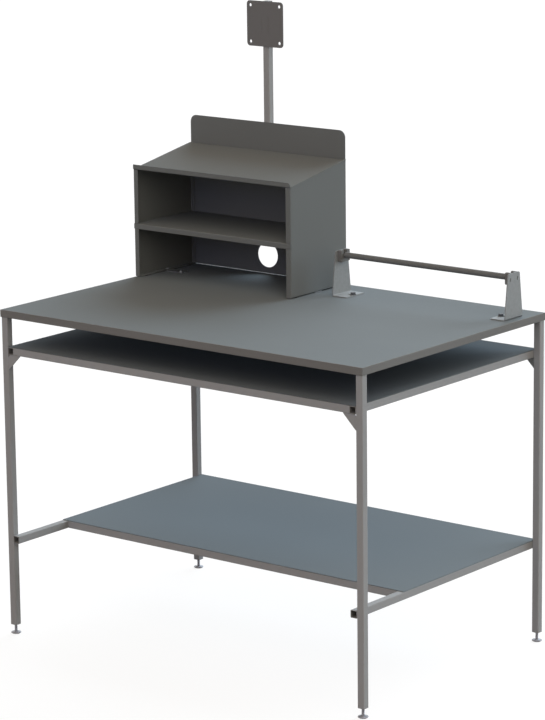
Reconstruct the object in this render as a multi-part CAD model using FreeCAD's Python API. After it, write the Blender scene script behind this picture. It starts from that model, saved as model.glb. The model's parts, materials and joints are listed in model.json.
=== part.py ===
import math
import os

import FreeCAD
import Part

# Operator desk, millimetres. X runs to the right, Y to the back, Z up from the floor.

# Worktop
TOP_WIDTH = 1200.0
TOP_DEPTH = 800.0
TOP_HEIGHT = 897.5
TOP_THICK = 20.0
BAND_THICK = 2.0
BAND_ROUND = 1.0

# Square tube of the frame and the pole
TUBE = 20.0
TUBE_WALL = 2.0
TUBE_ROUND = 2.0
LEG_INSET = 2.0

# Levelling feet and the threaded inserts in the legs
FOOT_HEIGHT = 25.5
FOOT_RADIUS = 13.5
FOOT_NECK_RADIUS = 6.0
FOOT_RIM = 3.0
FOOT_CONE = 1.5
FOOT_PAD_THICK = 1.0
FOOT_PAD_RADIUS = 11.0
FOOT_STUD_RADIUS = 4.0
FOOT_STUD_IN_LEG = 30.0
INSERT_LENGTH = 25.0
TOP_STUD_RADIUS = 4.0
TOP_STUD_IN_LEG = 20.0
TOP_STUD_IN_BOARD = 12.0

# Shelves of the frame
MID_SHELF_DROP = 80.0
LOWER_RAIL_HEIGHT = 257.5
LOWER_SET_BACK = 200.0
SHELF_SHEET = 1.5
GUSSET = 40.0
GUSSET_THICK = 3.0
GUSSET_CLIP = 6.5
GUSSET_NOSE = 2.0
GUSSET_SET_BACK = 1.5

# Folded sheet of the pigeonhole unit
UNIT_SHEET = 1.5
UNIT_BEND = 1.5
UNIT_WIDTH = 550.5
UNIT_DEPTH = 249.0
UNIT_BACK_INSET = 2.0
UNIT_GAP = 2.0
BACK_GAP = 0.8
UNIT_OVERHANG = 0.5
UNIT_FRONT_RISE = 303.0
UNIT_BACK_RISE = 346.5
UPSTAND = 78.5
UPSTAND_ROUND = 20.0
LIP = 12.5
LIP_ROUND = 10.0
FRONT_RETURN = 15.5
REAR_RETURN = 12.0
BOTTOM_RETURN = 20.0
NOSING_RISE = 151.0
NOSING = 15.0
SHELF_RETURN = 15.0
CABLE_HOLE_RADIUS = 35.0
CABLE_HOLE_RISE = 52.5
PAD_RADIUS = 6.5
PAD_INSET = 30.0

# Hold-down feet of the unit
FIXING_LENGTH = 75.0
FIXING_WIDTH = 30.0
FIXING_ROUND = 4.0
FIXING_FLANGE_HOLE = 12.0
FIXING_BOARD_HOLE = 62.0
SCREW_RADIUS = 2.5
SCREW_HEAD_RADIUS = 4.8
SCREW_HEAD = 2.6
SCREW_BITE = 12.0

# Screen pole and its saddles
POLE_RISE = 96.0
POLE_LENGTH = 664.0
CAP_THICK = 2.0
CAP_PLUG = 15.0
SADDLE_SHEET = 2.0
SADDLE_BEND = 2.0
SADDLE_HEIGHT = 40.0
SADDLE_REACH = 36.0
SADDLE_HOLE = 25.0
SADDLE_LOW_RISE = 45.0
SADDLE_HIGH_DROP = 38.0
POLE_STUD_RADIUS = 2.5
POLE_NUT_ACROSS = 8.0
POLE_NUT = 4.0
STUD_END = 2.0

# Screen plate and its clamp
PLATE = 125.0
PLATE_THICK = 3.0
PLATE_ROUND = 10.0
PLATE_PITCH = 100.0
PLATE_HOLE_RADIUS = 4.5
PLATE_DROP = 63.0
CLAMP_SHEET = 3.0
CLAMP_BEND = 2.0
CLAMP_HEIGHT = 45.0
CLAMP_BOLT_STAND = 4.0

# M8 hardware
BOLT_RADIUS = 4.0
BOLT_ACROSS = 13.0
BOLT_HEAD = 5.3
NUT = 6.5
WASHER_RADIUS = 8.0
WASHER = 1.6
THREAD_END = 3.0

# Roll holder
ROLL_RIGHT_INSET = 23.5
ROLL_LEFT_GAP = 64.0
ROLL_BACK_INSET = 113.0
ROLL_RISE = 108.5
BRACKET_SHEET = 2.5
BRACKET_BEND = 2.5
BRACKET_HEIGHT = 122.0
BRACKET_BASE = 80.0
BRACKET_TOP = 53.0
BRACKET_STRAIGHT = 8.0
BRACKET_TOP_ROUND = 6.0
BRACKET_FLANGE = 47.5
BRACKET_FLANGE_ROUND = 5.0
BRACKET_BOLT = 40.0
BRACKET_SLOT = 14.0
BAR_RADIUS = 8.0
BAR_WALL = 1.5
COLLAR_RADIUS = 7.7
BLOCK_THICK = 13.0
BLOCK_WIDTH = 38.0
BLOCK_BELOW = 17.0
BLOCK_ABOVE = 14.5
BLOCK_ROUND = 3.0
BLOCK_LEAD_ROUND = 2.0
TAB_SPREAD = 32.5
TAB_WIDTH = 3.0
TAB_HEIGHT = 10.0
TAB_DROP = 3.4
TAB_RECESS = 1.5
JOURNAL = 25.0

# Clearances
RUN_FIT = 0.05
THREAD_FIT = 0.05
HOLE_FIT = 0.5
INSERT_FIT = 0.1
PANEL_GAP = 0.5
SHELF_FIT = 0.3
CUT_OUT_GAP = 0.5
FOLD_RELIEF = 1.0
SADDLE_FIT = 0.1
CLAMP_FIT = 0.25
TAB_FIT = 0.1
SEAT_GAP = 0.3
BAR_END_GAP = 0.5
BAR_SIDE_GAP = 0.3
SAME_SPOT = 1e-6

# Places worked out from the sizes above
pole_rear_reach = TUBE - UNIT_BACK_INSET
clamp_rear_reach = CLAMP_FIT + CLAMP_SHEET + NUT + CLAMP_BOLT_STAND + BOLT_HEAD
foot_front_reach = max(FOOT_RADIUS - TUBE / 2.0 - LEG_INSET, 0.0)
front_y = -(TOP_DEPTH + pole_rear_reach + clamp_rear_reach - foot_front_reach) / 2.0
back_y = front_y + TOP_DEPTH
right_x = TOP_WIDTH / 2.0
left_x = -right_x
top_z = TOP_HEIGHT
under_z = TOP_HEIGHT - TOP_THICK

frame_front_y = front_y + LEG_INSET
frame_back_y = back_y - LEG_INSET
leg_x = right_x - LEG_INSET - TUBE / 2.0
leg_in_x = leg_x - TUBE / 2.0
rail_in_x = leg_in_x - TUBE
mid_rail_z = under_z - MID_SHELF_DROP - TUBE
lower_front_y = front_y + LOWER_SET_BACK

unit_left_x = left_x + UNIT_OVERHANG
unit_right_x = unit_left_x + UNIT_WIDTH
unit_mid_x = (unit_left_x + unit_right_x) / 2.0
unit_rear_y = back_y - UNIT_BACK_INSET
unit_back_y = unit_rear_y - UNIT_SHEET
unit_front_y = unit_rear_y - UNIT_DEPTH
unit_mid_y = (unit_front_y + unit_back_y) / 2.0
unit_z = top_z + UNIT_GAP
slope_front_z = top_z + UNIT_FRONT_RISE
slope_back_z = top_z + UNIT_BACK_RISE
upstand_z = slope_back_z + UPSTAND
nosing_z = top_z + NOSING_RISE

pole_z = top_z + POLE_RISE
pole_top_z = pole_z + POLE_LENGTH
pole_back_y = unit_rear_y + TUBE
pole_mid_y = unit_rear_y + TUBE / 2.0
plate_z = pole_top_z - PLATE_DROP
plate_back_y = unit_rear_y - CLAMP_FIT
plate_front_y = plate_back_y - PLATE_THICK
strap_in_y = pole_back_y + CLAMP_FIT
strap_back_y = strap_in_y + CLAMP_SHEET

roll_right_x = right_x - ROLL_RIGHT_INSET
roll_left_x = unit_right_x + ROLL_LEFT_GAP
roll_mid_x = (roll_left_x + roll_right_x) / 2.0
roll_y = back_y - ROLL_BACK_INSET
roll_z = top_z + ROLL_RISE
block_x = roll_left_x + BRACKET_SHEET
block_in_x = block_x + BLOCK_THICK
bolt_x = roll_left_x + BRACKET_BOLT

corners = {
    "front_left": (-leg_x, frame_front_y + TUBE / 2.0),
    "front_right": (leg_x, frame_front_y + TUBE / 2.0),
    "rear_left": (-leg_x, frame_back_y - TUBE / 2.0),
    "rear_right": (leg_x, frame_back_y - TUBE / 2.0),
}

# Each drawing plane: its two drawing axes, then the axis that a drawing is extruded along
PLANES = {"xy": (0, 1, 2), "xz": (0, 2, 1), "yz": (1, 2, 0)}


def spot(plane, u, v, along):
    places = [0.0, 0.0, 0.0]
    for axis, value in zip(PLANES[plane], (u, v, along)):
        places[axis] = value
    return FreeCAD.Vector(*places)


def rounded_corner(before, corner, after, radius):
    to_before = (before - corner).normalize()
    to_after = (after - corner).normalize()
    half = to_before.getAngle(to_after) / 2.0
    reach = radius / math.tan(half)
    inward = (to_before + to_after).normalize()
    middle = corner + inward * (radius / math.sin(half) - radius)
    return corner + to_before * reach, middle, corner + to_after * reach


# A closed outline with its corners rounded, as a flat face
def outline(plane, points, radii, along):
    flat = [FreeCAD.Vector(u, v, 0.0) for u, v in points]
    turns = []
    for index, corner in enumerate(flat):
        if radii[index] > 0.0:
            after = flat[(index + 1) % len(flat)]
            turns.append(rounded_corner(flat[index - 1], corner, after, radii[index]))
        else:
            turns.append((corner, None, corner))
    edges = []
    for index, (start, middle, end) in enumerate(turns):
        if middle is not None:
            arc = [spot(plane, place.x, place.y, along) for place in (start, middle, end)]
            edges.append(Part.Arc(*arc).toShape())
        following = turns[(index + 1) % len(turns)][0]
        if end.distanceToPoint(following) > SAME_SPOT:
            line_start = spot(plane, end.x, end.y, along)
            line_end = spot(plane, following.x, following.y, along)
            edges.append(Part.makeLine(line_start, line_end))
    return Part.Face(Part.Wire(edges))


def prism(plane, points, low, high, radii=None):
    face = outline(plane, points, radii or [0.0] * len(points), low)
    return face.extrude(spot(plane, 0.0, 0.0, high - low))


def rectangle(u_low, v_low, u_high, v_high):
    return [(u_low, v_low), (u_high, v_low), (u_high, v_high), (u_low, v_high)]


def square(u, v, side):
    return rectangle(u - side / 2.0, v - side / 2.0, u + side / 2.0, v + side / 2.0)


def block(x_low, x_high, y_low, y_high, z_low, z_high):
    return prism("xy", rectangle(x_low, y_low, x_high, y_high), z_low, z_high)


def rod(plane, u, v, radius, low, high):
    way = spot(plane, 0.0, 0.0, 1.0)
    return Part.makeCylinder(radius, high - low, spot(plane, u, v, low), way)


def hexagon(plane, u, v, across, low, high):
    reach = across / math.sqrt(3.0)
    turns = [math.radians(60.0 * step) for step in range(6)]
    points = [(u + reach * math.cos(turn), v + reach * math.sin(turn)) for turn in turns]
    return prism(plane, points, low, high)


def square_tube(plane, u, v, low, high):
    inside = TUBE - 2.0 * TUBE_WALL
    inside_round = max(TUBE_ROUND - TUBE_WALL, 0.0)
    outer = prism(plane, square(u, v, TUBE), low, high, [TUBE_ROUND] * 4)
    inner = prism(plane, square(u, v, inside), low, high, [inside_round] * 4)
    return outer.cut(inner)


# Folded sheet drawn as the path of one surface, with its thickness to the left of the path
def folded(plane, path, sheet, bend, low, high):
    spots = [FreeCAD.Vector(u, v, 0.0) for u, v in path]
    ways = [(end - start).normalize() for start, end in zip(spots, spots[1:])]
    lefts = [FreeCAD.Vector(-way.y, way.x, 0.0) for way in ways]
    near = [0.0]
    far = [0.0]
    offset = [spots[0] + lefts[0] * sheet]
    for index in range(1, len(spots) - 1):
        before = lefts[index - 1]
        after = lefts[index]
        mitre = (before + after) * (sheet / (1.0 + before.dot(after)))
        offset.append(spots[index] + mitre)
        turns_left = ways[index - 1].cross(ways[index]).z > 0.0
        near.append(bend + sheet if turns_left else bend)
        far.append(bend if turns_left else bend + sheet)
    offset.append(spots[-1] + lefts[-1] * sheet)
    near.append(0.0)
    far.append(0.0)
    points = list(path) + [(place.x, place.y) for place in reversed(offset)]
    return prism(plane, points, low, high, near + far[::-1])


def join(solids):
    return solids[0].multiFuse(solids[1:]).removeSplitter()


def cut_all(solid, tools):
    return solid.cut(Part.makeCompound(tools))


def mirrored(solid, x):
    return solid.mirror(FreeCAD.Vector(x, 0.0, 0.0), FreeCAD.Vector(1.0, 0.0, 0.0))


def both_sides(solid, x):
    return [solid, mirrored(solid, x)]


# A solid turned about an upright axis from its (radius, height) outline
def turned(points, x, y):
    wire = Part.makePolygon([FreeCAD.Vector(r, 0.0, z) for r, z in points + points[:1]])
    solid = Part.Face(wire).revolve(FreeCAD.Vector(), FreeCAD.Vector(0.0, 0.0, 1.0), 360.0)
    return solid.translated(FreeCAD.Vector(x, y, 0.0))


def fixing_screw_places():
    places = []
    for inset, head_z in ((FIXING_FLANGE_HOLE, unit_z + UNIT_SHEET), (FIXING_BOARD_HOLE, unit_z)):
        places.append((unit_left_x + inset, head_z))
        places.append((unit_right_x - inset, head_z))
    return places


def screw_length():
    return UNIT_SHEET + UNIT_GAP + SCREW_BITE


def desktop_board():
    board = block(left_x + BAND_THICK, right_x - BAND_THICK,
                  front_y + BAND_THICK, back_y - BAND_THICK, under_z, top_z)
    holes = []
    for x, y in corners.values():
        depth = TOP_STUD_IN_BOARD + HOLE_FIT
        holes.append(rod("xy", x, y, TOP_STUD_RADIUS + THREAD_FIT, under_z, under_z + depth))
    for x, head_z in fixing_screw_places():
        tip_z = head_z - screw_length() - HOLE_FIT
        holes.append(rod("xy", x, unit_mid_y, SCREW_RADIUS + THREAD_FIT, tip_z, top_z))
    for x in (bolt_x, 2.0 * roll_mid_x - bolt_x):
        holes.append(rod("xy", x, roll_y, BOLT_RADIUS + HOLE_FIT, under_z, top_z))
    return cut_all(board, holes)


def desktop_edge_bands():
    outer_low = [BAND_ROUND, 0.0, 0.0, BAND_ROUND]
    outer_high = [0.0, BAND_ROUND, BAND_ROUND, 0.0]
    front = rectangle(front_y, under_z, front_y + BAND_THICK, top_z)
    back = rectangle(back_y - BAND_THICK, under_z, back_y, top_z)
    left = rectangle(left_x, under_z, left_x + BAND_THICK, top_z)
    side = prism("xz", left, front_y + BAND_THICK, back_y - BAND_THICK, outer_low)
    bands = [prism("yz", front, left_x, right_x, outer_low)]
    bands.append(prism("yz", back, left_x, right_x, outer_high))
    return bands + both_sides(side, 0.0)


def leg(x, y):
    return square_tube("xy", x, y, FOOT_HEIGHT, under_z)


def leg_insert(x, y, low, hole_radius):
    side = TUBE - 2.0 * TUBE_WALL - 2.0 * INSERT_FIT
    plug = prism("xy", square(x, y, side), low, low + INSERT_LENGTH)
    return plug.cut(rod("xy", x, y, hole_radius, low, low + INSERT_LENGTH))


def leg_top_stud(x, y):
    low = under_z - TOP_STUD_IN_LEG
    return rod("xy", x, y, TOP_STUD_RADIUS, low, under_z + TOP_STUD_IN_BOARD)


# Levelling foot: rim, cone and threaded stud in one turned piece
def foot(x, y):
    rim_z = FOOT_PAD_THICK + FOOT_RIM
    cone_z = rim_z + FOOT_CONE
    stud_z = FOOT_HEIGHT + FOOT_STUD_IN_LEG
    points = [(0.0, FOOT_PAD_THICK), (FOOT_RADIUS, FOOT_PAD_THICK), (FOOT_RADIUS, rim_z),
              (FOOT_NECK_RADIUS, cone_z), (FOOT_STUD_RADIUS, cone_z), (FOOT_STUD_RADIUS, stud_z),
              (0.0, stud_z)]
    return turned(points, x, y)


def foot_pad(x, y):
    return rod("xy", x, y, FOOT_PAD_RADIUS, 0.0, FOOT_PAD_THICK)


def side_rail(z):
    x = leg_in_x - TUBE / 2.0
    return square_tube("xz", x, z + TUBE / 2.0, frame_front_y, frame_back_y)


def cross_rail(y, z):
    return square_tube("yz", y, z + TUBE / 2.0, -rail_in_x, rail_in_x)


def shelf_panel(y_low, rail_z):
    x = leg_in_x - PANEL_GAP
    z = rail_z + TUBE
    return block(-x, x, y_low, frame_back_y, z, z + SHELF_SHEET)


# Corner plate with its inner corner clipped clear of the welds
def gusset(x, y):
    tip_x = leg_in_x - GUSSET
    tip_z = mid_rail_z - GUSSET
    points = [(tip_x, mid_rail_z), (tip_x, mid_rail_z - GUSSET_NOSE),
              (leg_in_x - GUSSET_NOSE, tip_z), (leg_in_x, tip_z),
              (leg_in_x, mid_rail_z - GUSSET_CLIP), (leg_in_x - GUSSET_CLIP, mid_rail_z)]
    if y < (front_y + back_y) / 2.0:
        low = frame_front_y + GUSSET_SET_BACK
    else:
        low = frame_back_y - GUSSET_SET_BACK - GUSSET_THICK
    plate = prism("xz", points, low, low + GUSSET_THICK)
    return plate if x > 0.0 else mirrored(plate, 0.0)


# Height of the sloped sheet's underside at a depth y
def slope_under(y):
    run = unit_back_y - unit_front_y - UNIT_SHEET
    rise = slope_back_z - slope_front_z
    upper = slope_front_z + rise * (y - unit_front_y - UNIT_SHEET) / run
    return upper - UNIT_SHEET * math.hypot(run, rise) / run


def above_slope():
    low_y = unit_front_y - FRONT_RETURN
    high_y = unit_rear_y + FRONT_RETURN
    points = [(low_y, slope_under(low_y)), (high_y, slope_under(high_y)),
              (high_y, upstand_z), (low_y, upstand_z)]
    return prism("yz", points, unit_left_x - FRONT_RETURN, unit_right_x + FRONT_RETURN)


# Inward flange along the foot of a side panel, between reliefs at both ends
def side_foot_flange():
    fold = UNIT_SHEET + UNIT_BEND
    low_y = unit_front_y + fold + FOLD_RELIEF
    high_y = unit_back_y - fold - FOLD_RELIEF
    path = [(unit_right_x - BOTTOM_RETURN, unit_z), (unit_right_x, unit_z),
            (unit_right_x, unit_z + 2.0 * fold)]
    flange = folded("xz", path, UNIT_SHEET, UNIT_BEND, low_y, high_y)
    room = block(unit_right_x - fold, unit_right_x + fold, low_y - FOLD_RELIEF, high_y + FOLD_RELIEF,
                 unit_z - fold, unit_z + fold)
    return flange, room


def unit_side():
    path = [(unit_right_x - FRONT_RETURN, unit_front_y), (unit_right_x, unit_front_y),
            (unit_right_x, unit_back_y), (unit_right_x - REAR_RETURN, unit_back_y)]
    wall = folded("xy", path, UNIT_SHEET, UNIT_BEND, unit_z, upstand_z)
    flange, room = side_foot_flange()
    fold = UNIT_SHEET + UNIT_BEND
    nosing_room = block(unit_right_x - FRONT_RETURN - fold, unit_right_x + fold,
                        unit_front_y - fold, unit_front_y + fold + CUT_OUT_GAP,
                        nosing_z - NOSING - CUT_OUT_GAP, nosing_z + CUT_OUT_GAP)
    side = join([cut_all(wall, [above_slope(), room, nosing_room]), flange])
    hole_x = unit_right_x - FIXING_FLANGE_HOLE
    hole_radius = SCREW_RADIUS + HOLE_FIT
    return side.cut(rod("xy", hole_x, unit_mid_y, hole_radius, unit_z, unit_z + UNIT_SHEET))


# Back sheet between the rear bends of the sides: the cable hole below, the rounded upstand above
def unit_back_panel():
    fold = UNIT_SHEET + UNIT_BEND
    points = rectangle(unit_left_x + fold, top_z + BACK_GAP, unit_right_x - fold, upstand_z)
    sheet = prism("xz", points, unit_back_y, unit_rear_y, [0.0, 0.0, UPSTAND_ROUND, UPSTAND_ROUND])
    hole_z = top_z + CABLE_HOLE_RISE
    return sheet.cut(rod("xz", unit_mid_x, hole_z, CABLE_HOLE_RADIUS, unit_back_y, unit_rear_y))


# Shelf that fits between the side panels, with a nosing across their full width
def unit_mid_shelf():
    fold = UNIT_SHEET + UNIT_BEND
    nose = [(unit_front_y, nosing_z), (unit_front_y, nosing_z - NOSING)]
    in_left = unit_left_x + UNIT_SHEET + SHELF_FIT
    in_right = unit_right_x - UNIT_SHEET - SHELF_FIT
    middle_left = unit_left_x + REAR_RETURN + SHELF_FIT
    middle_right = unit_right_x - REAR_RETURN - SHELF_FIT
    short = [(unit_back_y - fold - SHELF_FIT, nosing_z)] + nose
    full = [(unit_back_y, nosing_z - SHELF_RETURN), (unit_back_y, nosing_z)] + nose
    front = [(unit_front_y + fold, nosing_z)] + nose
    spans = [(short, in_left, middle_left), (full, middle_left, middle_right),
             (short, middle_right, in_right), (front, unit_left_x - UNIT_OVERHANG, in_left),
             (front, in_right, unit_right_x + UNIT_OVERHANG)]
    return join([folded("yz", path, UNIT_SHEET, UNIT_BEND, low, high) for path, low, high in spans])


# What is taken off the right end of the stop lip to round it
def lip_corner(x):
    z = slope_front_z + LIP
    low_y = unit_front_y - LIP_ROUND
    high_y = unit_front_y + LIP_ROUND
    square_end = block(x - LIP_ROUND, x, low_y, high_y, z - LIP_ROUND, z)
    return square_end.cut(rod("xz", x - LIP_ROUND, z - LIP_ROUND, LIP_ROUND, low_y, high_y))


# Sloped document rest: rear flange, slope and turned-up stop lip
def unit_top_sheet():
    lip_y = unit_front_y + UNIT_SHEET
    slope = [(unit_back_y, slope_back_z), (lip_y, slope_front_z), (lip_y, slope_front_z + LIP)]
    flanged = [(unit_back_y, slope_back_z - REAR_RETURN)] + slope
    low_x = unit_left_x - UNIT_OVERHANG
    high_x = unit_right_x + UNIT_OVERHANG
    middle_left = unit_left_x + REAR_RETURN + SHELF_FIT
    middle_right = unit_right_x - REAR_RETURN - SHELF_FIT
    spans = [(slope, low_x, middle_left), (flanged, middle_left, middle_right),
             (slope, middle_right, high_x)]
    sheet = join([folded("yz", path, UNIT_SHEET, UNIT_BEND, low, high) for path, low, high in spans])
    behind = block(low_x, high_x, unit_back_y, unit_rear_y + LIP, slope_front_z, upstand_z)
    return cut_all(sheet, [behind, lip_corner(high_x)])


def unit_pads():
    fold = UNIT_SHEET + UNIT_BEND
    x = unit_right_x - (fold + BOTTOM_RETURN) / 2.0
    pads = []
    for y in (unit_front_y + PAD_INSET, unit_back_y - PAD_INSET):
        pads += both_sides(rod("xy", x, y, PAD_RADIUS, top_z, unit_z), unit_mid_x)
    return pads


def unit_fixing_feet():
    low_x = unit_left_x + UNIT_SHEET
    half = FIXING_WIDTH / 2.0
    points = rectangle(low_x, unit_mid_y - half, low_x + FIXING_LENGTH, unit_mid_y + half)
    plate = prism("xy", points, top_z, unit_z, [FIXING_ROUND] * 4)
    holes = []
    for inset in (FIXING_FLANGE_HOLE, FIXING_BOARD_HOLE):
        holes.append(rod("xy", unit_left_x + inset, unit_mid_y, SCREW_RADIUS + HOLE_FIT, top_z, unit_z))
    return both_sides(cut_all(plate, holes), unit_mid_x)


# Screw with a flat round head that rests at head_z
def fixing_screw(x, head_z):
    shank = rod("xy", x, unit_mid_y, SCREW_RADIUS, head_z - screw_length(), head_z)
    head = rod("xy", x, unit_mid_y, SCREW_HEAD_RADIUS, head_z, head_z + SCREW_HEAD)
    return join([shank, head])


def screen_pole():
    return square_tube("xy", unit_mid_x, pole_mid_y, pole_z + CAP_THICK, pole_top_z - CAP_THICK)


def pole_caps():
    side = TUBE - 2.0 * TUBE_WALL - 2.0 * INSERT_FIT
    caps = []
    for outer_z, inner_z in ((pole_z, pole_z + CAP_THICK), (pole_top_z, pole_top_z - CAP_THICK)):
        inward = math.copysign(CAP_PLUG, inner_z - outer_z)
        lid_edge = square(unit_mid_x, pole_mid_y, TUBE)
        plug_edge = square(unit_mid_x, pole_mid_y, side)
        lid = prism("xy", lid_edge, outer_z, inner_z, [TUBE_ROUND] * 4)
        plug = prism("xy", plug_edge, inner_z, inner_z + inward)
        caps.append(join([lid, plug]))
    return caps


def saddle_heights():
    return pole_z + SADDLE_LOW_RISE, upstand_z - SADDLE_HIGH_DROP


def saddle_stud_places():
    return [(x, z) for z in saddle_heights() for x in (unit_mid_x - SADDLE_HOLE, unit_mid_x + SADDLE_HOLE)]


# Hat-shaped saddle that clamps the pole against the back sheet
def pole_saddle(z):
    half = TUBE / 2.0 + SADDLE_FIT
    crown_y = pole_back_y + SADDLE_FIT
    left = unit_mid_x - half
    right = unit_mid_x + half
    path = [(unit_mid_x - SADDLE_REACH, unit_rear_y), (left, unit_rear_y), (left, crown_y),
            (right, crown_y), (right, unit_rear_y), (unit_mid_x + SADDLE_REACH, unit_rear_y)]
    low = z - SADDLE_HEIGHT / 2.0
    hat = folded("xy", path, SADDLE_SHEET, SADDLE_BEND, low, low + SADDLE_HEIGHT)
    holes = []
    for x in (unit_mid_x - SADDLE_HOLE, unit_mid_x + SADDLE_HOLE):
        holes.append(rod("xz", x, z, POLE_STUD_RADIUS + HOLE_FIT, unit_rear_y, unit_rear_y + SADDLE_SHEET))
    return cut_all(hat, holes)


def pole_stud(x, z):
    end_y = unit_rear_y + SADDLE_SHEET + POLE_NUT + STUD_END
    return rod("xz", x, z, POLE_STUD_RADIUS, unit_rear_y, end_y)


def pole_saddle_nut(x, z):
    low = unit_rear_y + SADDLE_SHEET
    nut = hexagon("xz", x, z, POLE_NUT_ACROSS, low, low + POLE_NUT)
    return nut.cut(rod("xz", x, z, POLE_STUD_RADIUS + THREAD_FIT, low, low + POLE_NUT))


def screen_plate():
    edge = square(unit_mid_x, plate_z, PLATE)
    sheet = prism("xz", edge, plate_front_y, plate_back_y, [PLATE_ROUND] * 4)
    holes = []
    for u, v in square(unit_mid_x, plate_z, PLATE_PITCH):
        holes.append(rod("xz", u, v, PLATE_HOLE_RADIUS, plate_front_y, plate_back_y))
    slot_x = TUBE / 2.0 + CLAMP_FIT + CLAMP_SHEET / 2.0
    half_width = CLAMP_SHEET / 2.0 + TAB_FIT
    half_height = CLAMP_HEIGHT / 2.0 + TAB_FIT
    for x in (unit_mid_x - slot_x, unit_mid_x + slot_x):
        holes.append(block(x - half_width, x + half_width, plate_front_y, plate_back_y,
                           plate_z - half_height, plate_z + half_height))
    return cut_all(sheet, holes)


# U strap round the pole; its front ends stand in the slots of the plate
def screen_clamp_strap():
    half = TUBE / 2.0 + CLAMP_FIT
    path = [(unit_mid_x - half, plate_front_y), (unit_mid_x - half, strap_in_y),
            (unit_mid_x + half, strap_in_y), (unit_mid_x + half, plate_front_y)]
    low = plate_z - CLAMP_HEIGHT / 2.0
    strap = folded("xy", path, CLAMP_SHEET, CLAMP_BEND, low, low + CLAMP_HEIGHT)
    return strap.cut(rod("xz", unit_mid_x, plate_z, BOLT_RADIUS + HOLE_FIT, strap_in_y, strap_back_y))


def screen_clamp_nut():
    end_y = strap_back_y + NUT
    nut = hexagon("xz", unit_mid_x, plate_z, BOLT_ACROSS, strap_back_y, end_y)
    return nut.cut(rod("xz", unit_mid_x, plate_z, BOLT_RADIUS + THREAD_FIT, strap_back_y, end_y))


def screen_clamp_bolt():
    head_y = strap_back_y + NUT + CLAMP_BOLT_STAND
    shank = rod("xz", unit_mid_x, plate_z, BOLT_RADIUS, pole_back_y + TAB_FIT, head_y)
    head = hexagon("xz", unit_mid_x, plate_z, BOLT_ACROSS, head_y, head_y + BOLT_HEAD)
    return join([shank, head])


def tab_places():
    z = roll_z - TAB_DROP
    return [(roll_y - TAB_SPREAD / 2.0, z), (roll_y + TAB_SPREAD / 2.0, z)]


def tab_block(y, z, extra, low, high):
    half_width = TAB_WIDTH / 2.0 + extra
    half_height = TAB_HEIGHT / 2.0 + extra
    return block(low, high, y - half_width, y + half_width, z - half_height, z + half_height)


# Folded bracket with a tapered upright and a slot for its bolt, drawn for the left end of the bar
def roll_bracket():
    tip_x = roll_left_x + BRACKET_FLANGE
    low_y = roll_y - BRACKET_BASE / 2.0
    high_y = roll_y + BRACKET_BASE / 2.0
    upper_z = top_z + BRACKET_HEIGHT
    path = [(roll_left_x, upper_z), (roll_left_x, top_z), (tip_x, top_z)]
    bent = folded("xz", path, BRACKET_SHEET, BRACKET_BEND, low_y, high_y)
    straight_z = top_z + BRACKET_STRAIGHT
    half_top = BRACKET_TOP / 2.0
    side = [(low_y, top_z), (high_y, top_z), (high_y, straight_z), (roll_y + half_top, upper_z),
            (roll_y - half_top, upper_z), (low_y, straight_z)]
    side_round = [0.0, 0.0, 0.0, BRACKET_TOP_ROUND, BRACKET_TOP_ROUND, 0.0]
    plan = rectangle(roll_left_x, low_y, tip_x, high_y)
    plan_round = [0.0, BRACKET_FLANGE_ROUND, BRACKET_FLANGE_ROUND, 0.0]
    bent = bent.common(prism("yz", side, roll_left_x, tip_x, side_round))
    bent = bent.common(prism("xy", plan, top_z, upper_z, plan_round))
    slot_x = bolt_x - BRACKET_SLOT
    slot_half = BOLT_RADIUS + HOLE_FIT
    flange_z = top_z + BRACKET_SHEET
    holes = [rod("xy", x, roll_y, slot_half, top_z, flange_z) for x in (slot_x, bolt_x)]
    holes.append(block(slot_x, bolt_x, roll_y - slot_half, roll_y + slot_half, top_z, flange_z))
    for y, z in tab_places():
        holes.append(tab_block(y, z, TAB_FIT, roll_left_x, block_x))
    return cut_all(bent, holes)


# Bearing block: a U open at the top, held by two tabs in the bracket
def roll_saddle():
    half = BLOCK_WIDTH / 2.0
    seat = COLLAR_RADIUS + SEAT_GAP
    low_z = roll_z - BLOCK_BELOW
    high_z = roll_z + BLOCK_ABOVE
    points = [(roll_y - half, low_z), (roll_y + half, low_z), (roll_y + half, high_z),
              (roll_y + seat, high_z), (roll_y + seat, roll_z - seat), (roll_y - seat, roll_z - seat),
              (roll_y - seat, high_z), (roll_y - half, high_z)]
    radii = [BLOCK_ROUND] * 3 + [BLOCK_LEAD_ROUND, seat, seat, BLOCK_LEAD_ROUND, BLOCK_ROUND]
    body = prism("yz", points, block_x, block_in_x, radii)
    tabs = [tab_block(y, z, 0.0, roll_left_x + TAB_RECESS, block_x) for y, z in tab_places()]
    return join([body] + tabs)


def roll_bar_tube():
    low = block_in_x + BAR_SIDE_GAP
    high = 2.0 * roll_mid_x - low
    tube = rod("yz", roll_y, roll_z, BAR_RADIUS, low, high)
    return tube.cut(rod("yz", roll_y, roll_z, BAR_RADIUS - BAR_WALL, low, high))


# End plug: a collar that lies in the saddle and a journal inside the tube
def roll_bar_plug():
    collar = rod("yz", roll_y, roll_z, COLLAR_RADIUS, block_x + BAR_END_GAP, block_in_x)
    journal_radius = BAR_RADIUS - BAR_WALL - RUN_FIT
    journal = rod("yz", roll_y, roll_z, journal_radius, block_in_x, block_in_x + JOURNAL)
    return join([collar, journal])


def roll_bolt():
    seat_z = top_z + BRACKET_SHEET + WASHER
    tip_z = under_z - WASHER - NUT - THREAD_END
    shank = rod("xy", bolt_x, roll_y, BOLT_RADIUS, tip_z, seat_z)
    head = hexagon("xy", bolt_x, roll_y, BOLT_ACROSS, seat_z, seat_z + BOLT_HEAD)
    return join([shank, head])


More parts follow.
